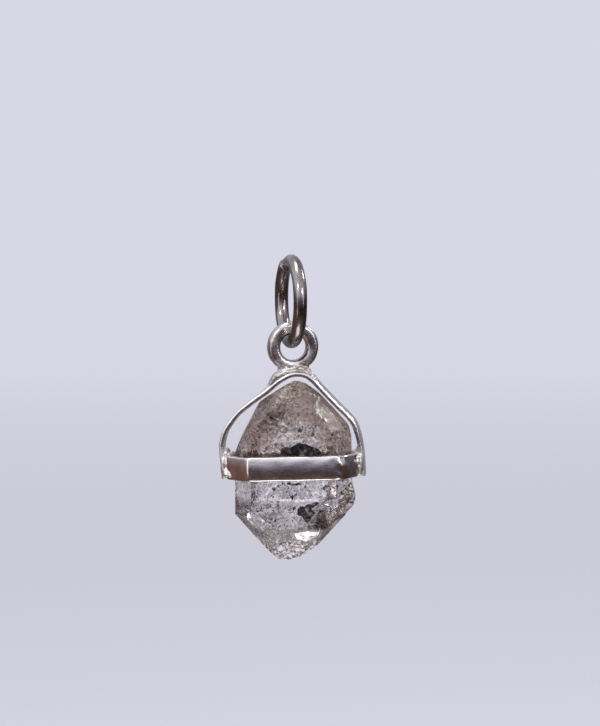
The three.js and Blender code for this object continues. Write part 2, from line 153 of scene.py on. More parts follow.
def face_relief(look, points, seed):
    """Height in mm over a crystal face at points (u along the face, v up it)."""
    chance = random.Random(seed)
    u, v = points[:, 0], points[:, 1]
    drift, fine = (
        np.array([noise.noise(Vector((a * scale, b * scale, seed * shift))) for a, b in points])
        for scale, shift in ((0.8, 3.7), (3.1, 1.9))
    )
    spread = np.ptp(u) / 2, np.ptp(v) / 2
    middle = (u.max() + u.min()) / 2, (v.max() + v.min()) / 2
    area = np.ptp(u) * np.ptp(v)

    def somewhere(share):
        return [m + s * chance.uniform(-share, share) for m, s in zip(middle, spread)]

    height = 0.012 * drift
    if abs(look.z) < 0.2:
        # sides carry fine level lines, 2.6 to the mm, broken here and there
        lines = v * 2.6 + 1.7 * drift + 0.25 * fine
        height += 0.014 * stepped(lines - np.floor(lines), 3)
    # three-cornered plates in four steps, one over the other
    for _ in range(4 + int(area / 4)):
        at = somewhere(0.9)
        size = chance.uniform(0.5, 2.0)
        high = chance.uniform(0.03, 0.07)
        askew = chance.uniform(-0.06, 0.06)
        upright = math.pi / 6 if chance.random() < 0.5 else -math.pi / 6
        reach = triangle_reach(u, v, at, askew + upright, chance.uniform(0.6, 1.3))
        level = np.clip(1 - (reach + 0.1 * drift + 0.03 * fine) / size, 0, 1)
        height = np.maximum(height, height * 0.4 + high * stepped(level, 4))
    # three-cornered hollows with flat floors, mostly small
    hollows_per_mm2, wall_slope, floor_share = 0.55, 0.35, 0.7
    for _ in range(int(area * hollows_per_mm2) + 2):
        at = somewhere(1)
        size = 0.09 + 0.2 * chance.random() ** 3
        upright = math.pi / 6 if chance.random() < 0.7 else -math.pi / 6
        reach = triangle_reach(u, v, at, upright)
        height -= np.clip(size - reach, 0, size * floor_share) * wall_slope
    return height


def rim_distance(outline, points):
    """How far each point lies from an outline."""
    best = np.full(len(points), 1e9)
    for a, b in zip(outline, np.roll(outline, -1, axis=0)):
        edge = b - a
        share = np.clip(((points - a) @ edge) / max(edge @ edge, 1e-12), 0, 1)
        best = np.minimum(best, np.linalg.norm(points - (a + share[:, None] * edge), axis=1))
    return best


def inside_outline(outline, points, margin):
    """Which points lie in an outline, and off its rim by the margin."""
    inside = np.zeros(len(points), bool)
    x, y = points[:, 0], points[:, 1]
    for a, b in zip(outline, np.roll(outline, -1, axis=0)):
        crosses = (a[1] > y) != (b[1] > y)
        slope = (b[0] - a[0]) / (b[1] - a[1] if b[1] != a[1] else 1e-12)
        inside ^= crosses & (x < a[0] + (y - a[1]) * slope)
    return inside & (rim_distance(outline, points) > margin)


def filled(outline, inner):
    """An outline filled with triangles over its own points and inner ones."""
    return delaunay_2d_cdt(outline + inner, [], [list(range(len(outline)))], 1, 1e-6)


def grown_crystal(mesh):
    """Every flat face filled with fine triangles that carry its relief."""
    step = 0.08  # mm between the triangles' points
    relief_fade = 0.22  # mm from a face's edges over which its relief dies away
    tip_top, tip_fade, tip_loss = -20.35, 0.6, 0.16
    block = bmesh.new()
    block.from_mesh(mesh)
    bmesh.ops.remove_doubles(block, verts=block.verts, dist=1e-4)
    in_line = math.radians(0.4)
    bmesh.ops.dissolve_limit(block, angle_limit=in_line, verts=block.verts, edges=block.edges)
    for edge in list(block.edges):
        cuts = int(edge.calc_length() / step)
        if cuts:
            bmesh.ops.subdivide_edges(block, edges=[edge], cuts=cuts)
    block.normal_update()
    block.verts.index_update()
    points = [vert.co.copy() for vert in block.verts]
    shift = [Vector() for _ in points]
    triangles = []
    for number, face in enumerate(block.faces):
        look = face.normal.copy()
        along = Vector((0, 0, 1)).cross(look)
        along = along.normalized() if along.length > 0.05 else Vector((1, 0, 0))
        up = look.cross(along)
        start = face.verts[0].co
        away = [vert.co - start for vert in face.verts]
        outline = [Vector((way.dot(along), way.dot(up))) for way in away]
        flat = np.array([tuple(p) for p in outline])
        low, high = flat.min(axis=0), flat.max(axis=0)
        grid = np.zeros((0, 2))
        if min(high - low) > 3 * step:
            rows = np.arange(low[1], high[1], step * 0.87)
            grid = np.array(
                [
                    (x + (step / 2 if row % 2 else 0), y)
                    for row, y in enumerate(rows)
                    for x in np.arange(low[0], high[0], step)
                ]
            )
            grid = grid[inside_outline(flat, grid, step * 0.55)]
        made = filled(outline, [Vector(p) for p in grid])
        sources = made[3]
        index_of = [vert.index for vert in face.verts]
        index_of += range(len(points), len(points) + len(grid))
        for triangle in made[2]:
            triangles.append([index_of[sources[corner][0]] for corner in triangle])
        points.extend(start + along * x + up * y for x, y in grid)
        local = np.vstack([flat, grid]) if len(grid) else flat
        relief = face_relief(look, local + np.array([start.dot(along), start.dot(up)]), number + 1)
        relief = relief * np.clip(rim_distance(flat, local) / relief_fade, 0, 1)
        shift.extend(look * h for h in relief[len(outline) :])
    # the edges are worn a little, more in some places than in others
    for vert in block.verts:
        wear = 0.006 + 0.04 * max(0, noise.noise(vert.co * 0.9 + Vector((7, 3, 1)))) ** 1.5
        wear += 0.01 * max(0, noise.noise(vert.co * 5.0))
        shift[vert.index] = -vert.normal * wear
    block.free()
    moved = []
    for point, move in zip(points, shift):
        spot = crystal_middle + point + move
        # the lower tip is knocked and crumbly
        bruise = held((tip_top - spot.z) / tip_fade)
        if bruise:
            crumb = noise.noise(spot * 2.6) + 0.8 * noise.noise(spot * 5.5)
            inwards = (crystal_middle - spot).normalized()
            spot += inwards * bruise * tip_loss * max(0, 0.35 + crumb)
        moved.append(spot * MM)
    grown = bpy.data.meshes.new("crystal")
    grown.from_pydata(moved, [], triangles)
    grown.validate()
    return grown


def smooth_up_to(mesh, sharpest):
    """Shade a mesh smooth, apart from edges sharper than an angle in degrees."""
    mesh.shade_smooth()
    mesh.set_sharp_from_angle(angle=math.radians(sharpest))


main_crystal = new_object("main_crystal", flat_faced(crystal_faces))
side_crystal = new_object("side_crystal", flat_faced(side_crystal_faces))
modify(main_crystal, "BOOLEAN", operation="UNION", solver="EXACT", object=side_crystal)
crystal_mesh = grown_crystal(evaluated(main_crystal))
bpy.data.objects.remove(side_crystal, do_unlink=True)
smooth_up_to(crystal_mesh, sharpest=22)
crystal = new_object("quartz_crystal", crystal_mesh)


def colour(text):
    """An sRGB hex value as the linear colour that a shader takes."""
    parts = [int(text[i : i + 2], 16) / 255 for i in (1, 3, 5)]
    linear = [p / 12.92 if p <= 0.04045 else ((p + 0.055) / 1.055) ** 2.4 for p in parts]
    return (*linear, 1)


class Tree:
    """A node tree, with short calls for the nodes that come again and again."""

    def __init__(self, tree):
        self.tree = tree
        tree.nodes.clear()

    def add(self, kind, settings=None, **inputs):
        """The outputs of a new node, a shader node where the kind doesn't say. An input goes by its
        name, or by in and its number, and takes a value, a hex colour or a node's output."""
        node = self.tree.nodes.new(kind if "Node" in kind else "ShaderNode" + kind)
        for key, value in (settings or {}).items():
            setattr(node, key, value)
        for key, value in inputs.items():
            numbered = key.startswith("in")
            socket = node.inputs[int(key[2:]) if numbered else key.replace("_", " ")]
            if isinstance(value, bpy.types.NodeSocket):
                self.tree.links.new(value, socket)
            else:
                socket.default_value = colour(value) if isinstance(value, str) else value
        return node.outputs

    def place(self):
        """The place on the piece, in metres."""
        return self.add("TexCoord")["Object"]

    def mapped(self, value, low, high, to_low=0.0, to_high=1.0):
        """A value between low and high carried over to another range, and held at its ends."""
        return self.add("MapRange", in0=value, in1=low, in2=high, in3=to_low, in4=to_high)[0]

    def work_out(self, operation, *values):
        """Values worked out as the operation says."""
        inputs = {f"in{n}": value for n, value in enumerate(values)}
        return self.add("Math", {"operation": operation}, **inputs)[0]

    def plus(self, first, second):
        return self.work_out("ADD", first, second)

    def times(self, first, second):
        return self.work_out("MULTIPLY", first, second)

    def larger(self, first, second):
        return self.work_out("MAXIMUM", first, second)

    def grain(self, place, scale, detail, rough=0.5):
        """Uneven grain, about 0.5 on average; scale in grains to the metre."""
        return self.add("TexNoise", Vector=place, Scale=scale, Detail=detail, Roughness=rough)[0]

    def blend(self, share, first, second):
        """A colour from the first at share 0 to the second at 1."""
        return self.add("Mix", {"data_type": "RGBA"}, Factor=share, in6=first, in7=second)[2]

    def shader(self, base, rough, metal=0.0, **inputs):
        """A solid surface."""
        inputs.update(Base_Color=base, Roughness=rough, Metallic=metal)
        return self.add("BsdfPrincipled", **inputs)[0]


def new_material(name):
    """An empty material and its nodes."""
    material = bpy.data.materials.new(name)
    material.use_nodes = True
    return material, Tree(material.node_tree)


# Natural quartz, unpolished: glassy where a face grew clean, frosted in fine grains where pits
# cover it, most of all over the upper point, and white where the lower tip is bruised. Grey-brown
# clouds and dark dots lie just under the skin, and painted shade darkens the apex and the sides of
# the upper half. The pits are drawn about 0.25 mm wide, so that they show.
quartz, tree = new_material("rock crystal quartz")
place = tree.place()
across, _, height = tree.add("SeparateXYZ", Vector=place)
ragged = tree.mapped(tree.grain(place, 900.0, 3.0), 0.3, 0.7, -0.35, 0.35)


def clean_window(middle, halves):
    """1 where the crystal is clean, from front to back, and 0 outside a ragged oval; x and z in
    metres."""
    oval = tree.add(
        "Mapping",
        Vector=place,
        Scale=(1 / halves[0], 0, 1 / halves[1]),
        Location=(-middle[0] / halves[0], 0, -middle[1] / halves[1]),
    )[0]
    reach = tree.add("VectorMath", {"operation": "LENGTH"}, in0=oval)["Value"]
    return tree.mapped(tree.plus(reach, ragged), 1.15, 0.6)


# heights in metres over which the upper half, the apex and the bruised lower tip set in
upper_half = tree.mapped(height, -0.0150, -0.0100)
apex = tree.mapped(height, -0.0118, -0.0094)
bruised = tree.mapped(height, -0.0196, -0.0208)
upper_window = clean_window((0.0003, -0.0123), (0.0024, 0.0014))
lower_window = clean_window((0.0006, -0.0174), (0.0023, 0.0018))
dirty = tree.mapped(tree.larger(upper_window, lower_window), 0, 1, 1.0, 0.22)
patches = tree.grain(place, 520.0, 5.0)
more_above = tree.mapped(upper_half, 0, 1, 0.0, 0.22)
frost_map = tree.mapped(tree.plus(patches, more_above), 0.46, 0.74)
frosted = tree.larger(tree.times(frost_map, dirty), apex)
pits = tree.add("TexVoronoi", {"feature": "F1"}, Vector=place, Scale=3800.0)["Distance"]
pitted = tree.plus(tree.times(pits, 0.55), tree.grain(place, 5200.0, 2.0))
relief = tree.times(pitted, tree.mapped(frosted, 0, 1, 0.1, 1.0))
bump = tree.add("Bump", Height=relief, Strength=1.0, Distance=0.00004)[0]
# white grains, where the skin scatters light
grains = tree.mapped(tree.grain(place, 4300.0, 3.0), 0.48, 0.6)
frost_grains = tree.mapped(frosted, 0, 1, 0.02, 0.3)
tip_grains = tree.mapped(bruised, 0, 1, 0, 0.7)
white = tree.times(grains, tree.larger(frost_grains, tip_grains))
# clouds and dots of dirt and carbon under the skin
clouds = tree.mapped(tree.grain(place, 800.0, 5.0), 0.42, 0.62)
cloud_cover = tree.times(tree.mapped(upper_half, 0, 1, 0.25, 0.8), dirty)
all_over = tree.times(tree.mapped(upper_half, 0, 0.4, 0.05, 0.6), dirty)
cloudy = tree.larger(tree.times(clouds, cloud_cover), all_over)
smoky = tree.blend(cloudy, "#FBFAFB", "#A47048")
# painted shade: the apex and the sides of the upper half are darkened to a deep brown over the
# smoke
off_middle = tree.work_out("ABSOLUTE", tree.work_out("SUBTRACT", across, 0.0004))
sides = tree.times(tree.mapped(off_middle, 0.002, 0.004, 0.0, 0.8), upper_half)
painted_shade = tree.times(tree.larger(apex, sides), tree.mapped(patches, 0.35, 0.6, 0.5, 1.0))
# the smoke colour, with the painted shade over the apex and the upper sides laid on it
smoke_and_painted_shade = tree.blend(painted_shade, smoky, "#5E4739")
dots = tree.mapped(tree.grain(place, 4600.0, 1.0), 0.55, 0.64)
dotted = tree.times(tree.times(dots, tree.mapped(upper_half, 0, 1, 0.25, 1.0)), dirty)
skin = tree.shader(
    tree.blend(dotted, smoke_and_painted_shade, "#4A3C36"),
    tree.mapped(frosted, 0, 1, 0.0, 0.06),
    IOR=1.544,
    Transmission_Weight=tree.mapped(white, 0, 1, 1.0, 0.0),
    Normal=bump,
)
smoke = tree.add("VolumeAbsorption", Color="#D6C6BC", Density=42.0)[0]
tree.add("OutputMaterial", Surface=skin, Volume=smoke)
crystal_mesh.materials.append(quartz)
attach(crystal, "pendant")
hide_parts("crystal")

# The inclusions: what the crystal grew round. Black carbon-like flecks and plates lie all through
# it, and old cracks that healed have left sheets of tiny silvery hollows.
carbon, tree = new_material("black carbon inclusions")
glints = tree.mapped(tree.grain(tree.place(), 2400.0, 3.0), 0.54, 0.64)
black = tree.shader(tree.blend(glints, "#120D0C", "#A8A0A3"), 0.28, glints)
tree.add("OutputMaterial", Surface=black)
fluid, tree = new_material("silvery fluid-filled hollows")
gleam = tree.mapped(tree.grain(tree.place(), 2600.0, 2.0), 0.0, 1.0, 0.05, 0.5)
tree.add("OutputMaterial", Surface=tree.shader("#EEF0F4", gleam, 1.0))


def strewn(name, space, in_space, material, density, noise_scale, cover, sizes, flatness, seed):
    """Small flat flecks strewn through a closed space, or over a sheet, where a noise stays under
    the cover. The space and the sizes are in mm, and the flecks come out in metres."""
    group = bpy.data.node_groups.new(name, "GeometryNodeTree")
    for label, way in (("Space", "INPUT"), ("Flecks", "OUTPUT")):
        group.interface.new_socket(label, in_out=way, socket_type="NodeSocketGeometry")
    tree = Tree(group)
    given = tree.add("NodeGroupInput")[0]
    strew = {"Density": density, "Seed": seed}
    if in_space:
        by_size = {"resolution_mode": "VOXEL_SIZE"}
        volume = tree.add("GeometryNodeMeshToVolume", by_size, Mesh=given, Voxel_Size=0.2)[0]
        at_random = {"mode": "DENSITY_RANDOM"}
        kind = "GeometryNodeDistributePointsInVolume"
        points = tree.add(kind, at_random, Volume=volume, **strew)["Points"]
    else:
        points = tree.add("GeometryNodeDistributePointsOnFaces", Mesh=given, **strew)["Points"]
    position = tree.add("GeometryNodeInputPosition")[0]
    cloud = tree.grain(position, noise_scale, 2.0)
    bare = tree.add("FunctionNodeCompare", {"operation": "GREATER_THAN"}, A=cloud, B=cover)[0]
    kept = tree.add("GeometryNodeDeleteGeometry", Geometry=points, Selection=bare)[0]
    ball = tree.add("GeometryNodeMeshIcoSphere", Radius=1.0, Subdivisions=1)[0]
    any_way = {"data_type": "FLOAT_VECTOR"}
    full_turns = (6.283, 6.283, 6.283)
    turn = tree.add("FunctionNodeRandomValue", any_way, Seed=seed, Max=full_turns)[0]
    chance, skew = (
        tree.add("FunctionNodeRandomValue", {"data_type": "FLOAT"}, in2=low, in3=high)[1]
        for low, high in ((0.0, 1.0), (0.5, 1.6))
    )
    rarely_big = tree.work_out("POWER", chance, 3.0)
    size = tree.work_out("MULTIPLY_ADD", rarely_big, sizes[1] - sizes[0], sizes[0])
    axes = {"X": tree.times(size, skew), "Y": size, "Z": tree.times(size, flatness)}
    flecks = tree.add(
        "GeometryNodeInstanceOnPoints",
        Points=kept,
        Instance=ball,
        Rotation=turn,
        Scale=tree.add("CombineXYZ", **axes)[0],
    )[0]
    real = tree.add("GeometryNodeRealizeInstances", Geometry=flecks)[0]
    painted = tree.add("GeometryNodeSetMaterial", Geometry=real, Material=material)[0]
    tree.add("NodeGroupOutput", in0=painted)
    obj = new_object(name, space)
    modify(obj, "NODES", node_group=group)
    mesh = evaluated(obj)
    mesh.transform(Matrix.Scale(MM, 4))
    mesh.shade_flat()
    mesh.materials.clear()
    mesh.materials.append(material)
    mesh.polygons.foreach_set("material_index", [0] * len(mesh.polygons))
    return new_object(name, mesh)


fleck_space = flat_faced(crystal_faces, margin=0.3)
fleck_space.transform(Matrix.Translation(crystal_middle))
carbon_flecks = strewn(
    "carbon_flecks", fleck_space, True, carbon,
    density=11.0, noise_scale=0.9, cover=0.53, sizes=(0.016, 0.085), flatness=0.3, seed=7,
)
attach(carbon_flecks, "pendant")

# outlines (x, z) in mm, the depth y of the plate's middle, its lean back, and how crumpled it is
upper_plate = [
    (-0.62, -13.52), (-0.45, -13.3), (-0.15, -13.22), (0.1, -13.34), (0.35, -13.12),
    (0.72, -12.94), (1.25, -12.98), (1.75, -13.18), (2.2, -13.35), (2.55, -13.68),
    (2.42, -13.92), (1.8, -14.0), (1.1, -14.02), (0.5, -13.88), (0.0, -13.95), (-0.4, -13.8),
]
lower_plate = [
    (0.62, -17.95), (0.85, -17.7), (1.2, -17.72), (1.42, -17.5), (1.78, -17.58), (1.7, -17.92),
    (1.95, -18.2), (1.72, -18.5), (1.42, -18.98), (1.15, -18.82), (1.0, -18.5), (0.72, -18.42),
]
black_plates = [
    (upper_plate, -1.45, 14, 0.16),
    (lower_plate, -1.0, -8, 0.07),
    ([(1.5, -17.62), (2.15, -17.4), (2.2, -17.56), (1.75, -17.86)], -0.95, 0, 0.04),
    ([(0.22, -17.82), (0.46, -17.72), (0.5, -17.95), (0.3, -18.06)], -0.7, 0, 0.04),
    ([(0.08, -16.92), (0.4, -16.88), (0.36, -17.14), (0.14, -17.2)], -1.4, 0, 0.04),
    ([(2.38, -16.4), (2.6, -16.12), (2.9, -16.1), (2.86, -16.32), (2.6, -16.5)], -0.9, 10, 0.04),
    ([(-1.32, -16.34), (-1.02, -16.28), (-1.03, -16.55), (-1.24, -16.6)], -1.0, 0, 0.04),
    ([(0.2, -16.0), (0.85, -15.92), (0.95, -16.12), (0.4, -16.2)], -1.3, 0, 0.04),
    ([(-0.2, -15.98), (0.1, -15.92), (0.08, -16.1), (-0.15, -16.14)], -0.6, 0, 0.04),
    ([(-1.45, -10.93), (-0.92, -11.12), (-0.9, -11.22), (-1.42, -11.05)], -1.5, 0, 0.03),
    ([(0.65, -12.0), (0.85, -11.9), (0.95, -12.1), (0.72, -12.2)], -1.1, 0, 0.03),
    ([(1.7, -12.3), (1.9, -12.25), (1.88, -12.46), (1.72, -12.42)], -0.7, 0, 0.03),
]


def crumpled_sheet(body, outline, depth, lean, turn, crumple, thick, gaps):
    """A thin crumpled sheet with the outline as seen from the front. It leans back and turns by
    degrees; gaps goes from 0, for a whole sheet, to 1, for one that noise tears in shreds."""
    flat = np.array(outline)
    middle = flat.mean(axis=0)
    step = max(0.07, np.ptp(flat[:, 0]) / 22)
    columns, levels = (np.arange(flat[:, i].min(), flat[:, i].max(), step) for i in (0, 1))
    grid = np.array([(x, z) for x in columns for z in levels]).reshape(-1, 2)
    grid = grid[inside_outline(flat, grid, step * 0.5)]
    spots, _, triangles = filled([Vector(p) for p in outline], [Vector(p) for p in grid])[:3]
    per_x, per_z = math.tan(math.radians(turn)), math.tan(math.radians(lean))
    front, back = [], []
    for x, z in spots:
        ridge = noise.noise(Vector((x * 2.6, z * 4.2, depth)))
        ridge += 0.5 * noise.noise(Vector((x * 7, z * 9, depth)))
        tilt = (z - middle[1]) * per_z + (x - middle[0]) * per_x
        y = depth + tilt + crumple * ridge
        front.append(body.verts.new((x, y, z)))
        back.append(body.verts.new((x, y + thick, z)))
    rim = {}
    for a, b, c in triangles:
        x, z = (spots[a] + spots[b] + spots[c]) / 3
        if noise.noise(Vector((x * 2.2 + z * 2.6, z * 3.0 - x * 1.2, depth * 7))) < gaps - 1:
            continue
        body.faces.new((front[a], front[b], front[c]))
        body.faces.new((back[c], back[b], back[a]))
        for one, two in ((a, b), (b, c), (c, a)):
            if rim.pop((two, one), None) is None:
                rim[(one, two)] = True
    for one, two in rim:
        body.faces.new((front[two], front[one], back[one], back[two]))
    loose = [vert for vert in front + back if not vert.link_faces]
    bmesh.ops.delete(body, geom=loose, context="VERTS")


def sheets_object(name, body, material, sharpest):
    """The finished sheets in metres, shaded smooth up to the sharpest angle in degrees."""
    bmesh.ops.recalc_face_normals(body, faces=body.faces)
    bmesh.ops.scale(body, vec=(MM, MM, MM), verts=body.verts)
    mesh = mesh_of(body, name)
    smooth_up_to(mesh, sharpest)
    mesh.materials.append(material)
    return new_object(name, mesh)


plates = bmesh.new()
for outline, depth, lean, crumple in black_plates:
    crumpled_sheet(plates, outline, depth, lean, 0, crumple, thick=0.045, gaps=0)
carbon_plates = sheets_object("carbon_plates", plates, carbon, sharpest=12)
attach(carbon_plates, "pendant")
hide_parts("upper_inclusion", "lower_inclusion")

healed_cracks = [
    # middle in mm from the crystal's, the way the sheet looks (turn, rise), half width and height
    ((-2.0, 0.2, 2.6), (-40, 20), 2.0, 2.2),
    ((1.8, 0.4, 2.4), (50, -15), 1.8, 2.0),
    ((0.2, 1.1, 3.8), (4, 30), 1.8, 1.5),
    ((-2.0, 0.0, -2.2), (-50, -25), 1.8, 2.0),
    ((0.3, 0.9, -4.3), (12, -50), 2.0, 1.3),
    ((2.2, 0.3, -2.4), (62, -20), 1.6, 1.6),
]
sheets = bmesh.new()
for number, (middle, looks, half_wide, half_high) in enumerate(healed_cracks):
    made = bmesh.ops.create_grid(sheets, x_segments=14, y_segments=14, size=1)
    facing = face_look(*looks).to_track_quat("Z", "Y").to_matrix().to_4x4()
    for vert in made["verts"]:
        spot = Vector((vert.co.x * half_wide, vert.co.y * half_high, 0))
        spot.z = 0.5 * noise.noise(spot * 0.6 + Vector((number * 5.0, 0, 0)))
        vert.co = facing @ spot + Vector(middle)
cut_to_faces(sheets, crystal_faces, margin=0.25, closed=False)
cracks = mesh_of(sheets, "healed_cracks")
cracks.transform(Matrix.Translation(crystal_middle))
fluid_hollows = strewn(
    "fluid_hollows", cracks, False, fluid,
    density=75.0, noise_scale=0.8, cover=0.52, sizes=(0.015, 0.05), flatness=0.35, seed=11,
)
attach(fluid_hollows, "pendant")

# open cracks just under the faces, filled with air, that gleam like foil
veil, tree = new_material("bright air-filled cracks")
streaks = tree.mapped(tree.grain(tree.place(), 1800.0, 4.0), 0.4, 0.6)
gloss = tree.mapped(streaks, 0, 1, 0.35, 0.12)
foil = tree.shader(tree.blend(streaks, "#A9A5AE", "#FFFFFF"), gloss, 0.9)
tree.add("OutputMaterial", Surface=foil)
open_cracks = [
    # outline (x, z) in mm, depth y of its middle, lean back, turn, and how full of gaps it is
    ([(-2.45, -11.9), (-1.9, -10.9), (-1.0, -10.45), (-0.15, -10.3), (-0.35, -11.1), (-1.1, -11.6)],
     -1.05, 25, -27, 0.85),
    ([(2.6, -10.75), (3.2, -11.3), (3.7, -12.3), (3.5, -12.3), (3.1, -11.5)], -0.9, 26, 24, 0.75),
    ([(2.2, -17.75), (2.9, -17.25), (3.6, -16.9), (4.0, -17.0), (3.7, -17.5), (2.9, -17.95)],
     -2.0, 7, 14, 0.8),
    ([(0.4, -19.5), (1.3, -19.35), (2.35, -19.25), (2.1, -19.75), (1.3, -20.15), (0.6, -20.0)],
     -1.6, -36, 0, 0.6),
    ([(-2.9, -17.9), (-2.2, -18.2), (-1.7, -19.0), (-2.1, -19.0), (-2.6, -18.6)],
     -1.1, -35, -35, 0.8),
]
veils = bmesh.new()
for outline, depth, lean, turn, gaps in open_cracks:
    crumpled_sheet(veils, outline, depth, lean, turn, crumple=0.025, thick=0.03, gaps=gaps)
air_cracks = sheets_object("air_cracks", veils, veil, sharpest=60)
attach(air_cracks, "pendant")

# The band: a strip of sterling silver sheet, bent round the crystal's waist and soldered shut.
# Its outer face is slightly domed and polished by hand, so it is not quite even.
band_thick = 0.32  # at its edges; the dome adds to it
band_high = 1.8
band_dome = 0.105
band_middle_z = -14.76
band_tilt = Matrix.Rotation(-math.radians(1.75), 3, "Y")
band_corners = [
    (-2.92, -3.06), (4.03, -3.06), (4.93, -1.2), (4.93, 1.2),
    (3.1, 3.07), (-2.8, 3.07), (-4.58, 1.2), (-4.58, -1.2),
]


def rounded_loop(corners, radius, bend_points, straight_step):
    """A closed line through corners, each rounded off; points in mm."""
    line = []

    def straight_to(end):
        """Points between the line's last point and the end."""
        start = line[-1]
        steps = int((end - start).length / straight_step)
        return [start.lerp(end, n / (steps + 1)) for n in range(1, steps + 1)]

    for i, corner in enumerate(corners):
        here = Vector(corner)
        back = (Vector(corners[i - 1]) - here).normalized()
        on = (Vector(corners[(i + 1) % len(corners)]) - here).normalized()
        reach = radius / math.tan(back.angle(on) / 2)
        start, end = here + back * reach, here + on * reach
        if line:
            line += straight_to(start)
        for n in range(bend_points + 1):
            t = n / bend_points
            line.append(start.lerp(here, t).lerp(here.lerp(end, t), t))
    return line + straight_to(line[0])


def rounded_section(thick, wide, radius, dome, arc=6, flat=10):
    """A strip's section: x through its thickness, y across its width, outer face domed."""
    half_x, half_y = thick / 2 - radius, wide / 2 - radius
    middles = [(half_x, half_y), (-half_x, half_y), (-half_x, -half_y), (half_x, -half_y)]

    def on_arc(corner, share):
        """A point on a corner's arc, from 0 at its start to 1 at its end."""
        x, y = middles[corner % 4]
        angle = (corner + share) * math.pi / 2
        return x + radius * math.cos(angle), y + radius * math.sin(angle)

    ring = []
    for corner in range(4):
        ring += [on_arc(corner, n / arc) for n in range(arc + 1)]
        (x, y), (next_x, next_y) = on_arc(corner, 1), on_arc(corner + 1, 0)
        steps = flat if corner % 2 else 2
        for n in range(1, steps):
            ring.append((x + (next_x - x) * n / steps, y + (next_y - y) * n / steps))
    return [(x + (dome * (1 - (y / (wide / 2)) ** 2) if x > 0 else 0), y) for x, y in ring]


def skinned(name, rings, closed):
    """A mesh over rings of points, in order; it joins up with its start, or has its ends shut."""
    body = bmesh.new()
    rows = [[body.verts.new(spot) for spot in ring] for ring in rings]
    following = rows[1:] + rows[:1] if closed else rows[1:]
    for a, b in zip(rows, following):
        for n in range(len(a)):
            m = (n + 1) % len(a)
            body.faces.new((a[n], a[m], b[m], b[n]))
    if not closed:
        body.faces.new(rows[0])
        body.faces.new(rows[-1][::-1])
    bmesh.ops.recalc_face_normals(body, faces=body.faces)
    return mesh_of(body, name)


def swept(name, stations, section, closed):
    """A mesh that carries a section along stations of (middle, outward, across)."""
    rings = []
    for middle, outward, across in stations:
        rings.append([middle + outward * x + across * y for x, y in section])
    return skinned(name, rings, closed)


def with_normals(mesh):
    """A mesh's points, each with the normal that it has before any of them moves."""
    mesh.update()
    return zip(mesh.vertices, [vert.normal.copy() for vert in mesh.vertices])


def hand_worn(mesh, size, deep, seed):
    """Slight dents over a hand-made piece, their size and depth in mm."""
    for vert, normal in with_normals(mesh):
        vert.co += normal * deep * noise.noise(vert.co / size + Vector((seed, 0, 0)))


loop = rounded_loop(band_corners, radius=0.5, bend_points=10, straight_step=0.25)
stations = []
for i, point in enumerate(loop):
    way = (loop[(i + 1) % len(loop)] - loop[i - 1]).normalized()
    middle = band_tilt @ Vector((point.x, point.y, 0)) + Vector((0, 0, band_middle_z))
    outward = band_tilt @ Vector((way.y, -way.x, 0))
    stations.append((middle, outward, band_tilt @ Vector((0, 0, 1))))
band_section = rounded_section(band_thick, band_high, radius=0.12, dome=band_dome)
band_mesh = swept("band", stations, band_section, closed=True)
hand_worn(band_mesh, size=1.5, deep=0.035, seed=3)
hand_worn(band_mesh, size=0.55, deep=0.012, seed=6)
# the corner at the front right was knocked with a hammer
knock_x, knock_y, knock_reach, knock_deep = 3.95, -3.1, 1.1, 0.16
for vert in band_mesh.vertices:
    near_corner = 1 - math.hypot(vert.co.x - knock_x, vert.co.y - knock_y) / knock_reach
    if near_corner > 0:
        knock = max(0, 0.5 + noise.noise(vert.co * 1.9 + Vector((0, 0, 4))))
        vert.co += Vector((-0.55, 0.84, 0)) * near_corner * knock_deep * knock


def silver_piece(name, mesh, silver, tones, gloss, scratch, dent, drawn_out, solder_top=-1.0):
    """A mesh in mm as a piece in metres, in its own sterling silver: a soft white metal that takes
    fine scratches and dulls brown in random patches. Below solder_top, in metres, it is dull and
    grainy with solder."""
    material, tree = new_material(silver)
    place = tree.place()
    height = tree.add("SeparateXYZ", Vector=place)["Z"]
    soldered = tree.mapped(height, solder_top + 0.0002, solder_top - 0.0003)
    matt_patch = tree.mapped(tree.grain(place, 2100.0, 3.0), 0.3, 0.7, 0.16, 0.3)
    matt = tree.times(soldered, matt_patch)
    tarnished = tree.mapped(tree.grain(place, 650.0, 5.0, 0.6), 0.42, 0.75)
    # fine scratches, which run round the piece, and shallow dents of about 1 mm
    drawn = tree.add("Mapping", Vector=place, Rotation=(0.3, 0.5, 0.2), Scale=(1, 1, drawn_out))[0]
    lines = tree.grain(drawn, 2200.0, 3.0, 0.7)
    dents = tree.grain(place, 900.0, 2.0)
    grainy = tree.times(soldered, tree.grain(place, 4200.0, 2.0))
    uneven = tree.plus(tree.plus(tree.times(lines, scratch), dents), grainy)
    bump = tree.add("Bump", Height=uneven, Strength=dent, Distance=0.00006)[0]
    rough = tree.plus(tree.mapped(lines, 0.3, 0.75, *gloss), matt)
    shader = tree.shader(tree.blend(tarnished, *tones), rough, 1.0, Normal=bump)
    tree.add("OutputMaterial", Surface=shader)
    mesh.transform(Matrix.Scale(MM, 4))
    mesh.shade_smooth()
    mesh.materials.append(material)
    return new_object(name, mesh)


band = silver_piece(
    "silver_band", band_mesh, "polished sterling silver", ("#E9E6E6", "#BDB2AE"),
    gloss=(0.12, 0.3), scratch=0.35, dent=0.25, drawn_out=5,
)
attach(band, "pendant")
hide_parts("band")

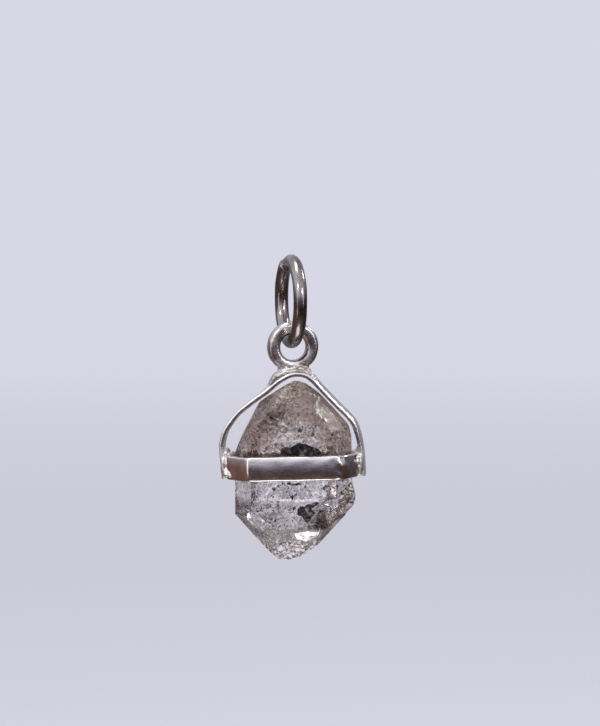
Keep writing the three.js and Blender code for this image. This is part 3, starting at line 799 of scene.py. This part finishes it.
# The strap: a narrower strip of the same silver that goes from one side of the band over the
# crystal to the other. Its ends are soldered to the band's sides.
strap_thick = 0.42
strap_wide = 1.9
strap_line = [
    (-4.95, -15.8), (-5.1, -14.3), (-5.17, -13.3), (-4.93, -12.33), (-4.48, -11.57),
    (-3.88, -10.85), (-2.64, -9.84), (-1.77, -9.21), (-0.78, -8.4), (0.2, -7.92),
    (1.1, -7.96), (1.72, -8.37), (2.28, -8.96), (3.69, -10.41), (4.36, -11.05),
    (4.76, -11.57), (5.0, -12.2), (5.18, -12.9), (5.31, -13.8), (5.41, -15.0), (5.43, -15.49),
]


def smooth_line(points, step):
    """An even line through points, by centripetal Catmull-Rom curves, with points a step apart."""
    knots = [Vector(p) for p in points]
    knots = [knots[0] * 2 - knots[1]] + knots + [knots[-1] * 2 - knots[-2]]
    pieces = 24
    dense = []
    for four in zip(knots, knots[1:], knots[2:], knots[3:]):
        times = [0.0]
        for a, b in zip(four, four[1:]):
            times.append(times[-1] + (b - a).length ** 0.5)
        for n in range(pieces):
            t = times[1] + (times[2] - times[1]) * n / pieces
            level = four
            # each round blends neighbours; the last one goes by the middle piece's own times
            for starts, span in (((0, 1, 2), 1), ((0, 1), 2), ((1,), 1)):
                shares = [(t - times[i]) / (times[i + span] - times[i]) for i in starts]
                level = [a.lerp(b, share) for a, b, share in zip(level, level[1:], shares)]
            dense.append(level[0])
    dense.append(knots[-2])
    even = [dense[0]]
    carried = 0.0
    for a, b in zip(dense, dense[1:]):
        gap = (b - a).length
        while carried + gap >= step:
            a = a.lerp(b, (step - carried) / gap)
            even.append(a)
            gap = (b - a).length
            carried = 0.0
        carried += gap
    even.append(dense[-1])
    return even


line = smooth_line(strap_line, step=0.12)
stations = []
for i, point in enumerate(line):
    way = (line[min(i + 1, len(line) - 1)] - line[max(i - 1, 0)]).normalized()
    middle = Vector((point.x, 0, point.y))
    stations.append((middle, Vector((-way.y, 0, way.x)), Vector((0, 1, 0))))
# a little slimmer than the strap's measures, as its dome and its dents add to them
strap_section = rounded_section(strap_thick - 0.06, strap_wide - 0.03, radius=0.14, dome=0.03)
strip = swept("strap", stations, strap_section, closed=False)

solder_lumps = [
    # middle of the lump, half sizes along x, y and z, in mm
    ((-4.86, 0, -13.84), (0.3, 0.88, 0.34)),
    ((-4.58, 0, -13.97), (0.46, 0.84, 0.2)),
    ((-4.82, -0.9, -14.9), (0.42, 0.4, 0.84)),
    ((-4.72, -1.15, -14.6), (0.3, 0.34, 0.5)),
    ((-4.66, -1.3, -15.3), (0.36, 0.36, 0.44)),
    ((-4.4, -1.56, -15.42), (0.34, 0.26, 0.26)),
    ((-4.8, 0.86, -14.9), (0.36, 0.34, 0.8)),
    ((5.13, 0, -13.54), (0.26, 0.88, 0.36)),
    ((4.9, 0, -13.72), (0.42, 0.84, 0.2)),
    ((5.12, -0.9, -14.6), (0.4, 0.4, 0.88)),
    ((4.96, -1.2, -14.3), (0.3, 0.36, 0.5)),
    ((4.86, -1.36, -14.95), (0.34, 0.34, 0.4)),
    ((4.7, -1.62, -14.25), (0.32, 0.26, 0.3)),
    ((5.12, 0.86, -14.6), (0.36, 0.34, 0.85)),
]


def fused(name, meshes, lumps, fineness, smoothing):
    """Closed meshes and lumps melted into one skin, as solder melts over silver; all in mm."""
    body = bmesh.new()
    for mesh in meshes:
        body.from_mesh(mesh)
    for middle, halves in lumps:
        made = bmesh.ops.create_icosphere(body, subdivisions=3, radius=1)
        shape = Matrix.Translation(middle) @ Matrix.Diagonal((*halves, 1))
        bmesh.ops.transform(body, matrix=shape, verts=made["verts"])
    obj = new_object(name, mesh_of(body, name))
    modify(obj, "REMESH", mode="VOXEL", voxel_size=fineness)
    modify(obj, "SMOOTH", factor=0.5, iterations=smoothing)
    return evaluated(obj)


def solder_grain(mesh, near, deep, seed):
    """Lumps and pits where solder ran; near gives its share from 0 to 1 at a point."""
    for vert, normal in with_normals(mesh):
        share = near(vert.co)
        if share <= 0:
            continue
        # the solder set in crinkled cells, about 0.4 mm across
        nearest, second = noise.voronoi(vert.co * 2.6 + Vector((seed, 0, 0)))[0][:2]
        crinkle = 0.5 - 1.6 * min(0.7, second - nearest)
        lumps = noise.noise(vert.co * 3.4 + Vector((0, seed, 0)))
        vert.co += normal * share * deep * (lumps - crinkle - 0.5)


def strap_solder(point):
    """Solder lies at the strap's ends, and leaves the strap's outer face clean."""
    if point.x < 0:
        half_span = 5.17 + 0.088 * (point.z + 13.3)
        solder_top = -13.45
    else:
        half_span = 5.18 - 0.0965 * (point.z + 12.9)
        solder_top = -13.15
    return held((solder_top - point.z) / 0.2) * held((half_span - abs(point.x) + 0.06) / 0.16)


strap_mesh = fused("strap", [strip], solder_lumps, fineness=0.045, smoothing=4)
solder_grain(strap_mesh, strap_solder, deep=0.06, seed=4)
hand_worn(strap_mesh, size=1.6, deep=0.02, seed=8)
strap = silver_piece(
    "silver_strap", strap_mesh, "sterling silver strip", ("#F3F1F0", "#CFC6C1"),
    gloss=(0.13, 0.34), scratch=0.35, dent=0.3, drawn_out=3, solder_top=-0.0134,
)
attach(strap, "pendant")
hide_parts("strap")

# The eyelet: a closed ring of heavy silver, cast or bent, that stands on the strap on a foot of
# solder. The solder has run down over the strap's top and set rough, with pits.
eyelet_hole = 2.0
eyelet_outer = 3.85
eyelet_depth = 1.1
eyelet_rounding = 0.34
eyelet_middle = Vector((0.13, 0, -5.87))
eyelet_turn = Matrix.Rotation(math.radians(18), 3, "Z")


def circle(count):
    """Points on a circle of radius 1."""
    angles = [n / count * 2 * math.pi for n in range(count)]
    return [(math.cos(angle), math.sin(angle)) for angle in angles]


stations = []
for x, z in circle(120):
    outward = eyelet_turn @ Vector((x, 0, z))
    middle = eyelet_middle + outward * ((eyelet_hole + eyelet_outer) / 4)
    stations.append((middle, outward, eyelet_turn @ Vector((0, 1, 0))))
eyelet_wall = (eyelet_outer - eyelet_hole) / 2
eyelet_section = rounded_section(eyelet_wall, eyelet_depth, eyelet_rounding, dome=0)
eyelet_ring = swept("eyelet_ring", stations, eyelet_section, closed=True)


def squarish(count, power):
    """Points on a circle of radius 1 that is pressed towards a square, more at a low power."""
    return [[math.copysign(abs(way) ** power, way) for way in spot] for spot in circle(count)]


foot_sections = [
    # height over the eyelet's middle, sideways shift, half width, half depth, turn
    (-1.2, 0.03, 1.26, 0.5, 18), (-1.42, 0.05, 1.2, 0.55, 16), (-1.62, 0.06, 1.2, 0.64, 11),
    (-1.85, 0.05, 1.24, 0.76, 5), (-2.02, 0.03, 1.1, 0.8, 0),
]
foot_rings = []
for height, shift, half_wide, half_deep, turn in foot_sections:
    ring = [Vector((x * half_wide, y * half_deep, 0)) for x, y in squarish(32, 0.6)]
    for spot in ring:
        spot.rotate(Matrix.Rotation(math.radians(turn), 3, "Z"))
    foot_rings.append([eyelet_middle + spot + Vector((shift, 0, height)) for spot in ring])
# the solder's saddle over the strap: how thick it lies, and how wide, along the strap's top
saddle_sections = [
    # x, thickness, half depth
    (-1.8, 0.02, 0.84), (-1.5, 0.14, 0.9), (-1.2, 0.34, 0.93), (-0.9, 0.54, 0.95),
    (-0.5, 0.5, 0.95), (0.0, 0.32, 0.93), (0.5, 0.26, 0.93), (1.0, 0.24, 0.92),
    (1.35, 0.24, 0.88), (1.7, 0.12, 0.8), (1.95, 0.05, 0.7),
]
strap_top = [i for i in range(len(line)) if line[i].y >= -11]
saddle_rings = []
for x, thick, half_deep in saddle_sections:
    nearest = min(strap_top, key=lambda i: abs(line[i].x - x))
    under = Vector((line[nearest].x, 0, line[nearest].y))
    ahead = line[nearest + 1] - line[nearest - 1]
    outward = Vector((-ahead.y, 0, ahead.x)).normalized()
    # from the strap's middle up to the solder's thickness over its outer face
    half_lift = strap_thick / 4 + thick / 2
    ring = []
    for side, up in squarish(20, 0.7):
        lift = half_lift + up * half_lift
        ring.append(under + outward * lift + Vector((0, side * half_deep, 0)))
    saddle_rings.append(ring)
foot_lumps = [
    ((0.72, -0.5, -7.5), (0.3, 0.2, 0.2)),
    ((-0.45, -0.55, -7.62), (0.3, 0.2, 0.22)),
    ((1.2, 0, -7.6), (0.3, 0.7, 0.24)),
]
foot = skinned("eyelet_foot", foot_rings, closed=False)
saddle = skinned("eyelet_saddle", saddle_rings, closed=False)
eyelet_parts = [eyelet_ring, foot, saddle]
eyelet_mesh = fused("eyelet", eyelet_parts, foot_lumps, fineness=0.04, smoothing=12)


def foot_solder(point):
    """Solder covers the foot, and thins out towards its top, over 0.4 mm."""
    return held((-6.9 - point.z) / 0.4)


solder_grain(eyelet_mesh, foot_solder, deep=0.045, seed=9)
hand_worn(eyelet_mesh, size=1.1, deep=0.03, seed=5)
eyelet = silver_piece(
    "silver_eyelet", eyelet_mesh, "worn sterling silver", ("#E2DEDD", "#93847B"),
    gloss=(0.15, 0.36), scratch=0.5, dent=0.5, drawn_out=1.3, solder_top=-0.0069,
)
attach(eyelet, "pendant")
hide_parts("eyelet")

# The jump ring: round silver wire, sawn off a coil and pushed shut. Its ends stand a little
# apart and a little out of line.
wire = 1.05
wire_radius = wire / 2 - 0.012  # leaves room for the dents
ring_radius = 3.0
ring_middle_z = -(ring_radius - wire / 2)
seam_angle = math.radians(115)
seam_gap = 0.07
seam_step = 0.16
open_angle = seam_gap / ring_radius
steps = 200
stations = []
for n in range(steps + 1):
    t = n / steps
    angle = seam_angle + open_angle / 2 + t * (2 * math.pi - open_angle)
    outward = Vector((0, -math.cos(angle), math.sin(angle)))
    middle = outward * ring_radius + Vector(((t - 0.5) * seam_step, 0, ring_middle_z))
    stations.append([eyelet_turn @ way for way in (middle, outward, Vector((1, 0, 0)))])
wire_section = [(x * wire_radius, y * wire_radius) for x, y in circle(36)]
sawn = new_object("jump_ring", swept("jump_ring", stations, wire_section, closed=False))
end_angle = math.radians(50)
modify(sawn, "BEVEL", width=0.05, segments=2, limit_method="ANGLE", angle_limit=end_angle)
jump_mesh = evaluated(sawn)
hand_worn(jump_mesh, size=1.5, deep=0.02, seed=2)
jump_ring = silver_piece(
    "silver_jump_ring", jump_mesh, "drawn sterling silver wire", ("#A19A9B", "#5E5255"),
    gloss=(0.14, 0.3), scratch=0.3, dent=0.3, drawn_out=1.5,
)
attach(jump_ring, "jump_ring")
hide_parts("jump_ring")

# The room: a plain pale floor far under the pendant, soft light from above, and the camera at
# the photograph's angle.
photo_azimuth, photo_elevation = 5, 5
sight = face_look(photo_azimuth, photo_elevation)
camera_right = face_look(photo_azimuth + 90, 0)
aim = (Vector((0, 0, -7.1)) + camera_right * 0.675) * MM
lens = 200
frame_height = 54.45 * MM  # what the photograph's height takes in at the pendant
camera_data = bpy.data.cameras.new("camera")
camera_data.lens = lens
camera_data.clip_start = 0.01
camera = new_object("camera", camera_data)
camera.location = aim + sight * (frame_height * lens / camera_data.sensor_width)
camera.rotation_euler = sight.to_track_quat("Z", "Y").to_euler()
bpy.context.scene.camera = camera

floor_half = 0.7
floor_z = -0.06
floor_mesh = bpy.data.meshes.new("floor")
sides = (-floor_half, floor_half)
floor_corners = [(x, y, floor_z) for y in sides for x in sides[:: 1 if y < 0 else -1]]
floor_mesh.from_pydata(floor_corners, [], [(0, 1, 2, 3)])
floor = new_object("floor", floor_mesh)
paper, tree = new_material("pale paper")
reach = tree.add("VectorMath", {"operation": "LENGTH"}, in0=tree.place())["Value"]
sheet = tree.shader("#CCCCD6", 1.0, Specular_IOR_Level=0.0)
open_air = tree.add("BsdfTransparent")[0]
# the paper fades into the backdrop further out, and isn't seen from below
from_below = tree.add("NewGeometry")["Backfacing"]
away = tree.larger(tree.mapped(reach, 0.1, 0.6), from_below)
faded = tree.add("MixShader", Fac=away, in1=sheet, in2=open_air)[0]
tree.add("OutputMaterial", Surface=faded)
floor_mesh.materials.append(paper)
floor.visible_glossy = False
floor.visible_transmission = False

world = bpy.data.worlds.new("soft studio")
bpy.context.scene.world = world
world.use_nodes = True
tree = Tree(world.node_tree)
sky = tree.add("TexCoord")["Generated"]
to_right, to_back, to_top = tree.add("SeparateXYZ", Vector=sky)
level = tree.mapped(to_top, -1, 1)


def room_ramp(*stops):
    """Tones of the room by height, from straight down at -1 to straight up at 1."""
    output = tree.add("ValToRGB", Fac=level)[0]
    elements = output.node.color_ramp.elements
    for at, tone in stops:
        if at in (-1, 1):
            element = elements[0 if at < 0 else -1]
        else:
            element = elements.new((at + 1) / 2)
        element.color = colour(tone)
    return output


# what the silver and the crystal's faces mirror: bright above, lavender grey ahead, dark below
mirrored = room_ramp(
    (-1, "#B4AEB0"), (-0.75, "#7A6A62"), (-0.4, "#4A3935"), (-0.22, "#3F3235"),
    (-0.1, "#524851"), (0.02, "#7C7889"), (0.18, "#A3A1AF"), (0.26, "#DCDCE6"),
    (0.33, "#F8F8FE"), (1, "#FFFFFF"),
)
# what is seen through the crystal: pale ahead and straight down, duller between and above
seen_through = room_ramp(
    (-1, "#FFFFFF"), (-0.93, "#F0EEF4"), (-0.84, "#9A908E"), (-0.74, "#F2F0F6"),
    (-0.66, "#F2F0F6"), (-0.58, "#A89C9A"), (-0.42, "#A89EA0"), (-0.3, "#CCC8D0"),
    (-0.08, "#D8D7E4"), (0.03, "#C2BFCA"), (0.3, "#9C96A0"), (0.62, "#A8A2AC"),
    (0.85, "#D8D6E0"), (1, "#E8E6F0"),
)
# the room is brightest at the front left, and a warm brown low down to both sides
front_left = (-0.74, -0.67, 0)
nearness = tree.add("VectorMath", {"operation": "DOT_PRODUCT"}, in0=sky, in1=front_left)["Value"]
room_gain = tree.mapped(nearness, -1, 1, 0.35, 1.25)
sideways = tree.work_out("ABSOLUTE", to_right)
low_down = tree.mapped(to_top, 0.25, 0.0)
brown_share = tree.times(tree.mapped(sideways, 0.7, 0.95, 0.0, 0.5), low_down)
with_brown = tree.blend(brown_share, mirrored, "#8F6C58")
room = tree.add("Background", Color=with_brown, Strength=room_gain)[0]
# through the crystal the room shows four lighter strips, broken up into light and dark
bearing = tree.work_out("ARCTAN2", to_right, to_back)
strips = tree.mapped(tree.work_out("COSINE", tree.times(bearing, 4.0)), -1, 1, 0.7, 1.25)
contrast = tree.mapped(tree.grain(sky, 5.0, 2.0), 0.38, 0.6, 0.4, 1.7)
gain = tree.times(strips, contrast)
through = tree.add("Background", Color=seen_through, Strength=gain)[0]
plain = tree.add("Background", Color="#D8D7E5", Strength=1.0)[0]
plain_share = tree.mapped(to_back, 0.5, 0.95, 0.0, 0.35)
behind = tree.add("MixShader", Fac=plain_share, in1=room, in2=plain)[0]
ray = tree.add("LightPath")
bent = tree.add("MixShader", Fac=ray["Is Transmission Ray"], in1=behind, in2=through)[0]
straight = tree.add("MixShader", Fac=ray["Is Camera Ray"], in1=bent, in2=plain)[0]
tree.add("OutputWorld", Surface=straight)


def soft_box(name, place, size, power):
    """A softbox that faces the pendant."""
    light = bpy.data.lights.new(name, "AREA")
    light.shape = "RECTANGLE"
    light.size, light.size_y = size
    light.energy = power
    box = new_object(name, light)
    box.location = place
    from_pendant = Vector(place) - Vector((0, 0, -0.014))
    box.rotation_euler = from_pendant.to_track_quat("Z", "Y").to_euler()
    box.visible_camera = False


soft_box("overhead", (-0.06, 0.04, 0.27), (0.16, 0.12), 0.27)
soft_box("right strip", (0.214, -0.129, 0.06), (0.025, 0.16), 0.05)
soft_box("left strip", (-0.2, -0.2, 0.0), (0.06, 0.24), 0.065)
soft_box("sparkle left", (-0.12, -0.2, 0.16), (0.02, 0.02), 0.09)
soft_box("sparkle right", (0.16, -0.16, 0.1), (0.02, 0.02), 0.09)
soft_box("sparkle behind", (0.2, 0.12, 0.16), (0.03, 0.03), 0.12)
soft_box("paper below", (-0.004, -0.016, -0.056), (0.03, 0.03), 0.006)
bpy.context.scene.view_settings.view_transform = "Standard"
